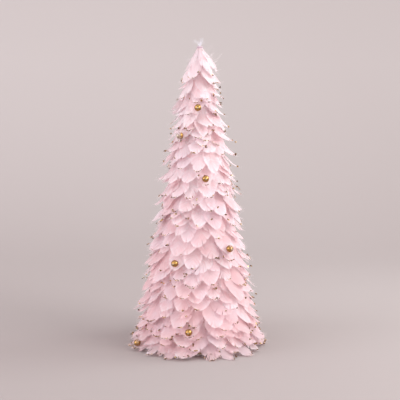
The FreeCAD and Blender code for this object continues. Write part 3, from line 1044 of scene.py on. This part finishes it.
def feather_paint(name, pale):
    """Dyed feather, streaked along its barbs, with painted light and shade in its colour.

    It is painted deep pink towards the quill, as shade under the feather above; paler along the rim, as a
    painted highlight; and paler towards the tree's tip, as painted light from above.
    """
    paint = Paint(name)
    uv = paint.node("ShaderNodeUVMap", {"uv_map": "vane"})
    look = paint.look()
    tint, along, rim = look.part("X"), look.part("Y"), look.part("Z")
    # How high on the tree, for the painted light that makes the feathers paler towards the top
    height = paint.place().part("Z").between(0.0, TOP_LIGHT_HEIGHT)
    streak = streaks(paint, uv, tint, FINE_STREAKS) + streaks(paint, uv, tint, BROAD_STREAKS)
    patch = paint.noise(paint.place(), scale=PATCH_SCALE)
    # Painted shade under the feather above: deep pink at the quill, paler towards the tip
    pale_part = along.between(*QUILL_SHADE_SPAN) * QUILL_SHADE_PALENESS
    # Painted highlight along the rim, on hairs and frayed ends too
    pale_part = pale_part + rim.between(*RIM_HIGHLIGHT_SPAN) * RIM_HIGHLIGHT_PALENESS
    # Painted light from above: paler towards the top of the tree
    pale_part = pale_part + height * TOP_LIGHT_PALENESS
    pale_part = pale_part + (streak - NOISE_MIDDLE) * STREAK_PALENESS
    pale_part = pale_part + (patch - NOISE_MIDDLE) * PATCH_PALENESS
    pale_part = pale_part + tint * TINT_PALENESS + (pale - DYE_STRENGTH)
    color = paint.ramp(pale_part, *DYE_AND_LIGHT_STOPS)
    color = paint.mix(patch.between(*COOL_SPAN) * COOL_SHARE, color, PETAL_COOL)
    color = paint.mix((rim * -1).at_least(0) * SHAFT_TONE_SHARE, color, SHAFT_TONE)
    bump = paint.bump(streak, STREAK_RELIEF, strength=0.8)
    paint.feed(Base_Color=color, Roughness=0.75, Normal=bump, Sheen_Weight=0.8, Sheen_Roughness=0.4)
    paint.feed(Specular_IOR_Level=0.2)
    return paint.let_through(FEATHER_GLOW_SHARE, PETAL_GLOW)


def dust_paint():
    """Gold dust: some flakes tarnished brown, some gold, a few silvery white."""
    paint = Paint("gold_dust")
    color = paint.ramp(paint.look().part("X"), *DUST_STOPS)
    return paint.feed(Base_Color=color, Metallic=0.75, Roughness=0.32)


def bead_paint():
    """Polished gold, with faint swirls of wear."""
    paint = Paint("polished_gold")
    wear = paint.noise(paint.place(), scale=700.0, detail=3.0)
    color = paint.mix(wear.between(*WEAR_SPAN), *BEAD_TONES)
    return paint.feed(Base_Color=color, Metallic=1.0, Roughness=wear.spread(*BEAD_ROUGHNESS))


def pin_paint():
    """Drawn steel wire with a warm lacquer."""
    paint = Paint("pin_steel")
    wear = paint.noise(paint.place(), scale=900.0)
    color = paint.mix(wear, *PIN_TONES)
    return paint.feed(Base_Color=color, Metallic=1.0, Roughness=wear.spread(*PIN_ROUGHNESS))


def foam_paint():
    """Beaded foam painted to match the feathers, with the beads' seams darker."""
    paint = Paint("painted_foam")
    at = paint.place()
    inputs = {"Vector": at, "Scale": 330.0}
    edge = paint.node("ShaderNodeTexVoronoi", {"feature": "DISTANCE_TO_EDGE"}, inputs)
    seam = edge.between(*SEAM_SPAN)
    color = paint.mix(paint.noise(at, scale=60.0), *FOAM_TONES)
    color = paint.mix(seam, SEAM_TONE, color)
    return paint.feed(Base_Color=color, Roughness=0.8, Normal=paint.bump(seam, FOAM_RELIEF))


def woven_paint(name, one, other):
    """Cotton weave: threads that cross, each a little darker or paler."""
    paint = Paint(name)
    at = paint.place()
    turn = paint.node("ShaderNodeMath", {"operation": "ARCTAN2"}, {0: at.part("Y"), 1: at.part("X")})
    warp = (turn * WARP_PACE).math("SINE", 0)
    weft = (at.part("Z") * WEFT_PACE).math("SINE", 0)
    weave = warp * weft * 0.5 + 0.5
    bump = paint.bump(weave, WEAVE_RELIEF)
    color = paint.mix(weave * WEAVE_SHARE + paint.noise(at, scale=400.0) * (1 - WEAVE_SHARE), one, other)
    return paint.feed(Base_Color=color, Roughness=0.85, Sheen_Weight=0.2, Normal=bump)


def felt_paint():
    """Pressed felt: short matted fibres."""
    paint = Paint("felt")
    at = paint.place()
    fibre = paint.noise(at, scale=1400.0, detail=4.0, roughness=0.7)
    bump = paint.bump(fibre, FELT_RELIEF)
    cloud = paint.noise(at, scale=90.0)
    color = paint.mix(fibre * FIBRE_SHARE + cloud * (1 - FIBRE_SHARE), *FELT_TONES)
    return paint.feed(Base_Color=color, Roughness=0.95, Sheen_Weight=0.4, Normal=bump)


def board_paint():
    """Pressed board: fine brown fibres with darker chips."""
    paint = Paint("pressed_board")
    at = paint.place()
    fibre = paint.noise(at, scale=900.0, detail=4.0, roughness=0.65)
    chip = paint.noise(at, scale=240.0).between(*CHIP_SPAN)
    color = paint.mix(fibre, *BOARD_TONES)
    color = paint.mix(chip * CHIP_SHARE, color, CHIP_TONE)
    return paint.feed(Base_Color=color, Roughness=0.7, Normal=paint.bump(fibre, BOARD_RELIEF))


def dowel_paint():
    """Pale turned wood with its grain along the dowel.

    Its end, which shows between the quills, is washed pink.
    """
    paint = Paint("dowel_wood")
    at = paint.place()
    across, along = GRAIN_PACE
    grain_at = paint.point(at.part("X") * across, at.part("Y") * across, at.part("Z") * along)
    grain = paint.noise(grain_at, scale=1.0, detail=3.0)
    color = paint.mix(grain.between(*GRAIN_SPAN), *DOWEL_TONES)
    color = paint.mix(at.part("Z").between(*WASHED_SPAN) * WASHED_SHARE, color, PETAL_MID)
    return paint.feed(Base_Color=color, Roughness=0.55, Normal=paint.bump(grain, DOWEL_RELIEF))


def thread_paint():
    """Mauve thread with a twisted ply."""
    paint = Paint("wound_thread")
    ply = paint.noise(paint.place(), scale=1800.0)
    color = paint.mix(ply, *THREAD_TONES)
    bump = paint.bump(ply, THREAD_RELIEF)
    return paint.feed(Base_Color=color, Roughness=0.6, Sheen_Weight=0.3, Normal=bump)


def down_paint():
    """Undyed down: white with a cold tinge, thin enough for light to come through."""
    paint = Paint("white_down")
    cloud = paint.noise(paint.place(), scale=260.0, detail=3.0)
    color = paint.mix(cloud.between(*CLOUD_SPAN), *DOWN_TONES)
    paint.feed(Base_Color=color, Roughness=0.8, Sheen_Weight=0.4, Specular_IOR_Level=0.2)
    return paint.let_through(DOWN_GLOW_SHARE, DOWN_GLOW)


def recoat(node, material):
    """Gives a CAD node that stays a finished material."""
    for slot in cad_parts[node].material_slots:
        slot.material = material


def coat_nodes():
    """Finishes the CAD nodes that stay."""
    recoat("foam_cone", foam_paint())
    recoat("base_board", board_paint())
    recoat("felt_pad", felt_paint())
    recoat("tip_dowel", dowel_paint())
    recoat("gold_beads", bead_paint())
    pins = pin_paint()
    recoat("bead_pins", pins)
    recoat("tape_pins", pins)
    tape = woven_paint("cotton_tape", *TAPE_TONES)
    for strip in STRIPS:
        recoat("tape_" + strip, tape)


def share_for(shares, index, rest):
    """A strip's own value, where the lowest strips have them, counted up from the hem, or the rest's."""
    return shares[index] if index < len(shares) else rest


def read_cone():
    """How far apart the strips are, and how much the cone narrows for each length up it, from the tapes."""
    lowest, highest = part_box("tape_" + STRIPS[0])[1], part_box("tape_" + STRIPS[-1])[1]
    rise = highest[2] - lowest[2]
    return rise / (len(STRIPS) - 1), (lowest[0] - highest[0]) / rise


def tucked_place(place, step, rises, narrowing, rng):
    """The place of a smaller feather between this one and its neighbour."""
    rise = rng.uniform(*rises)
    return place._replace(
        centre_r=place.centre_r - rise * narrowing,
        centre_z=place.centre_z + rise,
        bearing=place.bearing + step * rng.uniform(*TUCKED_TURN),
        length=place.length * rng.uniform(*TUCKED_LENGTH),
        half_width=place.half_width * rng.uniform(*TUCKED_WIDTH),
    )


def places_of(node, tucked_share, rises, narrowing, beads, rng):
    """The places of a strip's feathers, with smaller ones tucked in between, but not over a bead."""
    own = [read_place(part) for part in loose_parts(node)]
    step = TURN / len(own)
    tucked = []
    for place in own:
        for _ in range(int(tucked_share + rng.random())):
            tucked.append(tucked_place(place, step, rises, narrowing, rng))
    return own + [place for place in tucked if not carries_bead(place, beads)]


def make_strip(index, blanks, flake, beads, feather, dust):
    """Replaces one CAD strip with soft feathers, and dusts their tips."""
    node = "feathers_" + STRIPS[index]
    coat = Coat()
    rng = np.random.default_rng(LIE_SEED + index)
    fuzz = np.random.default_rng(FUZZ_SEED + index)
    habit = share_for(LOW_HABITS, index, CALM_HABIT)
    tucked_share = share_for(TUCKED_SHARES, index, TUCKED_SHARE)
    dusted_share = DUSTED_SHARE if index else HEM_DUSTED_SHARE
    spacing, narrowing = read_cone()
    rises = [spacing * share for share in share_for(TUCKED_RISES, index, TUCKED_RISE)]
    for place in places_of(node, tucked_share, rises, narrowing, beads, rng):
        blank = blanks[rng.integers(len(blanks))]
        lie = Lie(place, rng, habit, beads)
        tint = rng.normal(0, TINT_SPREAD)
        lay_feather(coat, blank, lie, tint)
        for number, count in VEIL_BARBS.items():
            if carries_bead(place, [beads[number]]):
                veil_bead(coat, lie, beads[number], count, fuzz, tint)
        for _ in range(fuzz.integers(*BARBS_A_FEATHER)):
            add_barb(coat, blank.form, lie, fuzz, tint)
        dusted = fuzz.random() < dusted_share
        for _ in range(fuzz.integers(*HAIRS_A_FEATHER)):
            end, lift = add_hair(coat, blank.form, lie, fuzz, tint)
            if dusted and fuzz.random() < HAIR_CLOT_CHANCE:
                add_clot(dust, flake, lie, end, lift, HAIR_CLOT_SPREAD, fuzz)
        if dusted:
            dust_feather(dust, flake, blank.form, lie, fuzz)
    coat.piece("strip_" + STRIPS[index], feather, "feather", [node])


def make_strips(blanks, flake, beads, feather, dust_material):
    """Dresses all the strips, and gathers the dust of their tips and of the beads in one piece. The beads'
    dark dust also paints a shaded rim round each bead.
    """
    dust = Coat()
    for index in range(len(STRIPS)):
        make_strip(index, blanks, flake, beads, feather, dust)
    rng = np.random.default_rng(BEAD_DUST_SEED)
    for bead in beads:
        dust_and_shade_bead(dust, flake, bead, rng)
    dust.piece("gold_dust", dust_material, "bead")


def add_fluff(coat, lie, rng, tint):
    """One soft barb from the quill, above the vane, that bends down and away from it."""
    side = rng.choice([-1, 1])
    steps = np.linspace(0, 1, FLUFF_STEPS)
    reach = rng.uniform(*FLUFF_REACH)
    heading = rng.uniform(*FLUFF_HEADING)
    along = rng.uniform(FLUFF_START, QUILL_SHARE) + steps * reach * math.cos(heading) / lie.length
    across = side * steps**FLUFF_BEND * reach * math.sin(heading) / lie.half_width
    lift = steps * rng.uniform(*FLUFF_RISE)
    half = FLUFF_WIDTH / 2 / lie.length * (1 - SOFT_TAPER * steps)
    rail = lie.points(np.r_[along + half, along - half], np.r_[across, across], np.r_[lift, lift])
    coat.add_ribbon(rail, (HAIR_U, rng.random()), (tint, *FLUFF_LOOK))


def make_crown(blanks, feather):
    """Replaces the crown's CAD feathers, with slimmer ones tucked in between."""
    coat = Coat()
    rng = np.random.default_rng(CROWN_SEED)
    for place in places_of("crown_feathers", CROWN_TUCKED_SHARE, (0.0, 0.0), 0.0, (), rng):
        blank = blanks[rng.integers(len(blanks))]
        place = place._replace(length=place.length * CROWN_STRETCH)
        lie = Lie(place, rng, CROWN_HABIT, ())
        tint = rng.normal(0, CROWN_TINT_SPREAD)
        lay_feather(coat, blank, lie, tint)
        for _ in range(CROWN_HAIRS):
            add_hair(coat, blank.form, lie, rng, tint, CROWN_HAIR_SHARES)
        for _ in range(CROWN_BARBS):
            add_barb(coat, blank.form, lie, rng, tint)
        for _ in range(CROWN_FLUFF):
            add_fluff(coat, lie, rng, tint)
    coat.piece("crown", feather, "feather", ["crown_feathers"])


def down_barb(coat, foot, rng, height, reach):
    """One barb of the down spray, with the short barbules along both its sides."""
    bearing = rng.uniform(0, TURN)
    lean = reach * math.sqrt(rng.uniform(*DOWN_LEANS))
    rise = height * rng.uniform(*DOWN_RISES)
    outwards = np.array([math.cos(bearing), math.sin(bearing), 0])
    around = np.array([-math.sin(bearing), math.cos(bearing), 0])
    steps = np.linspace(0, 1, DOWN_STEPS)
    wave = np.sin(steps * DOWN_WAVE_ANGLE) * rng.normal(0, DOWN_WAVE)
    path = foot + outwards * DOWN_FOOT_RADIUS
    path = path + np.outer(steps**DOWN_BEND * lean, outwards) + np.outer(steps * rise, [0, 0, 1])
    path = path + np.outer(wave, around)
    half = around * (1 - SOFT_TAPER * steps)[:, None] * DOWN_WIDTH / 2
    coat.add_ribbon(np.concatenate([path + half, path - half]), PLAIN_UV, PLAIN_LOOK)
    for share in rng.uniform(*BARBULE_SHARES, BARBULES):
        start = np.array([np.interp(share, steps, path[:, axis]) for axis in range(3)])
        add_barbule(coat, start, outwards, around, rng)


def add_barbule(coat, start, outwards, around, rng):
    """One short barbule to either side of a barb of down: a single face."""
    side = rng.choice([-1, 1])
    heading = around * side + outwards * rng.normal(0, BARBULE_SPREAD)
    heading = heading + np.array([0, 0, rng.uniform(*BARBULE_RISE)])
    heading = heading / np.linalg.norm(heading)
    end = start + heading * rng.uniform(*BARBULE_LENGTH)
    half = np.cross(heading, outwards) * BARBULE_WIDTH / 2
    end_half = half * BARBULE_END
    rail = np.array([start + half, start - half, end + end_half, end - end_half])
    coat.add_ribbon(rail, PLAIN_UV, PLAIN_LOOK)


def make_down(down):
    """The spray of down on the tip, in place of its plain CAD tuft."""
    low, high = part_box("crown_down")
    foot = np.array([0, 0, low[2]])
    reach = (high[0] - low[0]) / 2 * DOWN_REACH_SHARE
    coat = Coat()
    rng = np.random.default_rng(DOWN_SEED)
    for _ in range(DOWN_BARBS):
        down_barb(coat, foot, rng, high[2] - low[2], reach)
    coat.piece("down_spray", down, "down", ["crown_down"])


def make_thread():
    """The thread wound round the crown's quills, turn on turn, in place of its plain CAD band."""
    low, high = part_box("crown_band")
    step = (high[2] - low[2]) / THREAD_TURNS
    radius = step / 2 * THREAD_OVERLAP
    rng = np.random.default_rng(THREAD_SEED)
    clear_selection()
    turns = []
    for turn in range(THREAD_TURNS):
        tilt = rng.normal(0, THREAD_TILT, 2)
        bpy.ops.mesh.primitive_torus_add(
            major_radius=high[0] - radius * THREAD_SEAT,
            minor_radius=radius,
            major_segments=THREAD_SEGMENTS[0],
            minor_segments=THREAD_SEGMENTS[1],
            location=(0, 0, low[2] + step * (turn + 0.5)),
            rotation=(tilt[0], tilt[1], rng.uniform(*THREAD_START)),
        )
        turns.append(bpy.context.object)
    for turn in turns:
        turn.select_set(True)
    bpy.context.view_layer.objects.active = turns[0]
    bpy.ops.object.join()
    thread = bpy.context.object
    thread.name = "crown_thread"
    bpy.ops.object.transform_apply(location=True, rotation=True, scale=True)
    bpy.ops.object.shade_smooth()
    dress(thread, thread_paint(), ["crown_band"])


def make_stage():
    """A plain pale floor that sweeps up into a backdrop."""
    clear_selection()
    bpy.ops.mesh.primitive_plane_add(size=FLOOR_SIZE, location=(0, SWEEP_BACK - FLOOR_SIZE / 2, 0))
    sweep = bpy.context.object
    sweep.name = "floor_sweep"
    bpy.ops.object.mode_set(mode="EDIT")
    bpy.ops.mesh.select_mode(type="EDGE")
    select_level_edges(sweep, SWEEP_BACK, 0)
    bpy.ops.mesh.extrude_region_move(TRANSFORM_OT_translate={"value": (0, 0, SWEEP_TOP)})
    select_level_edges(sweep, SWEEP_BACK, 0)
    bpy.ops.mesh.bevel(offset=SWEEP_BEND, segments=SWEEP_STEPS)
    bpy.ops.object.mode_set(mode="OBJECT")
    bpy.ops.object.transform_apply(location=True, rotation=True, scale=True)
    bpy.ops.object.shade_smooth()
    paint = Paint("floor_sweep")
    tone = paint.mix(paint.place().part("Y").between(*TONE_SPAN), FLOOR_TONE, WALL_TONE)
    sweep.data.materials.append(paint.feed(Base_Color=tone, Roughness=0.95))


def select_level_edges(sweep, y, z):
    """Selects, in edit mode, the edges that run from side to side at a place on the sweep."""
    bpy.ops.mesh.select_all(action="DESELECT")
    shape = bmesh.from_edit_mesh(sweep.data)
    for edge in shape.edges:
        ends = [sweep.matrix_world @ corner.co for corner in edge.verts]
        edge.select_set(all(abs(end.y - y) < mm and abs(end.z - z) < mm for end in ends))
    bmesh.update_edit_mesh(sweep.data)


def add_lamp(spec):
    """A square soft lamp that faces a point."""
    lamp = bpy.data.lights.new(spec.name, "AREA")
    lamp.size = spec.size
    lamp.energy = spec.power
    lamp.color = spec.color
    holder = bpy.data.objects.new(spec.name, lamp)
    holder.location = spec.place
    facing = Vector(spec.target) - Vector(spec.place)
    holder.rotation_euler = facing.to_track_quat("-Z", "Y").to_euler()
    bpy.context.scene.collection.objects.link(holder)


def make_light():
    """The lamps, and the pale air that lights the tree from all sides."""
    for spec in LAMPS:
        add_lamp(spec)
    world = bpy.data.worlds.new("air")
    world.use_nodes = True
    background = world.node_tree.nodes["Background"]
    background.inputs[0].default_value = AIR_COLOR
    background.inputs[1].default_value = AIR_STRENGTH
    bpy.context.scene.world = world
    bpy.context.scene.view_settings.view_transform = "Standard"


def make_camera():
    """The camera, a little above the middle of the tree and tipped down."""
    camera = bpy.data.cameras.new("camera")
    camera.sensor_fit = "HORIZONTAL"
    camera.angle = math.radians(VIEW_ANGLE)
    holder = bpy.data.objects.new("camera", camera)
    place = Matrix.Translation((CAMERA_SIDE, -CAMERA_DISTANCE, CAMERA_HEIGHT))
    pitch = Matrix.Rotation(math.radians(90 - CAMERA_PITCH), 4, "X")
    roll = Matrix.Rotation(math.radians(CAMERA_ROLL), 4, "Z")
    holder.matrix_world = place @ pitch @ roll
    bpy.context.scene.collection.objects.link(holder)
    bpy.context.scene.camera = holder


blanks = [make_blank(seed, PARTINGS) for seed in range(BLANK_KINDS)]
crown_blanks = [make_blank(BLANK_KINDS + seed, CROWN_PARTINGS) for seed in range(CROWN_KINDS)]
feather = feather_paint("dyed_feather", 0.0)
crown_feather = feather_paint("crown_feather", CROWN_PALENESS)
beads = [read_bead(part) for part in loose_parts("gold_beads")]
make_strips(blanks, flake_blank(), beads, feather, dust_paint())
make_crown(crown_blanks, crown_feather)
make_down(down_paint())
make_thread()
coat_nodes()
make_stage()
make_light()
make_camera()
